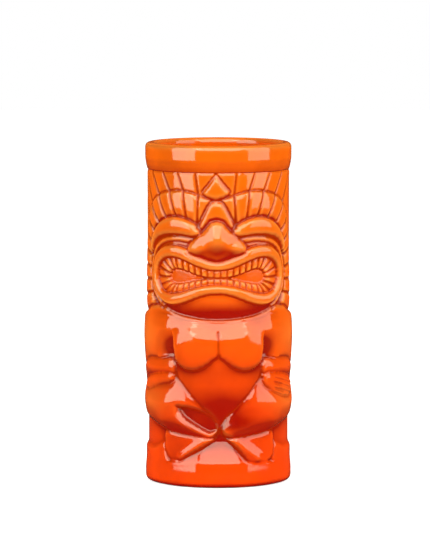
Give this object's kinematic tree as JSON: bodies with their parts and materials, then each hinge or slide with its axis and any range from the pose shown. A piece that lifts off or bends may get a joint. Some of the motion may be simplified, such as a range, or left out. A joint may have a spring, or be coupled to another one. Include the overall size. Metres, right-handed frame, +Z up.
{
  "type": "tiki mug",
  "caption": "Tall glazed ceramic drinking mug moulded as a squatting carved idol with a wide toothed mouth, a plain collar rim and a round base.",
  "frame": {"origin": "middle of the mug's footprint, on the resting face of the foot ring; the round cup's own axis is 2.5 mm behind it, because the nose stands out in front", "axes": "+Z up along the mug's height, the idol's face looks along -Y, +X to the right of someone looking at the face"},
  "size_m": [0.0726, 0.076, 0.165],
  "materials": {
    "orange_glaze": "high gloss transparent-edged orange glaze",
    "bare_clay": "unglazed matt fired clay"
  },
  "bodies": {
    "root": {"back_hair": "orange_glaze", "back_torso": "orange_glaze", "base_plinth": "orange_glaze", "belly": "orange_glaze", "brow_ridge_left": "orange_glaze", "brow_ridge_right": "orange_glaze", "brow_tiles_left": "orange_glaze", "brow_tiles_right": "orange_glaze", "cheek_fold_left": "orange_glaze", "cheek_fold_right": "orange_glaze", "cheek_left": "orange_glaze", "cheek_right": "orange_glaze", "chest": "orange_glaze", "chin": "orange_glaze", "crest_tiles_left": "orange_glaze", "crest_tiles_right": "orange_glaze", "cup_wall": "orange_glaze", "foot_left": "orange_glaze", "foot_right": "orange_glaze", "foot_ring": "bare_clay", "forearm_left": "orange_glaze", "forearm_right": "orange_glaze", "forehead_gem_lower": "orange_glaze", "forehead_gem_upper": "orange_glaze", "ground_wedge": "orange_glaze", "hand_left": "orange_glaze", "hand_right": "orange_glaze", "leg_left": "orange_glaze", "leg_right": "orange_glaze", "lips": "orange_glaze", "lower_wall_back": "orange_glaze", "lower_wall_left": "orange_glaze", "lower_wall_right": "orange_glaze", "nose": "orange_glaze", "rim_collar": "orange_glaze", "shoulder_left": "orange_glaze", "shoulder_right": "orange_glaze", "teeth_lower": "orange_glaze", "teeth_upper": "orange_glaze"}
  },
  "joints": []
}
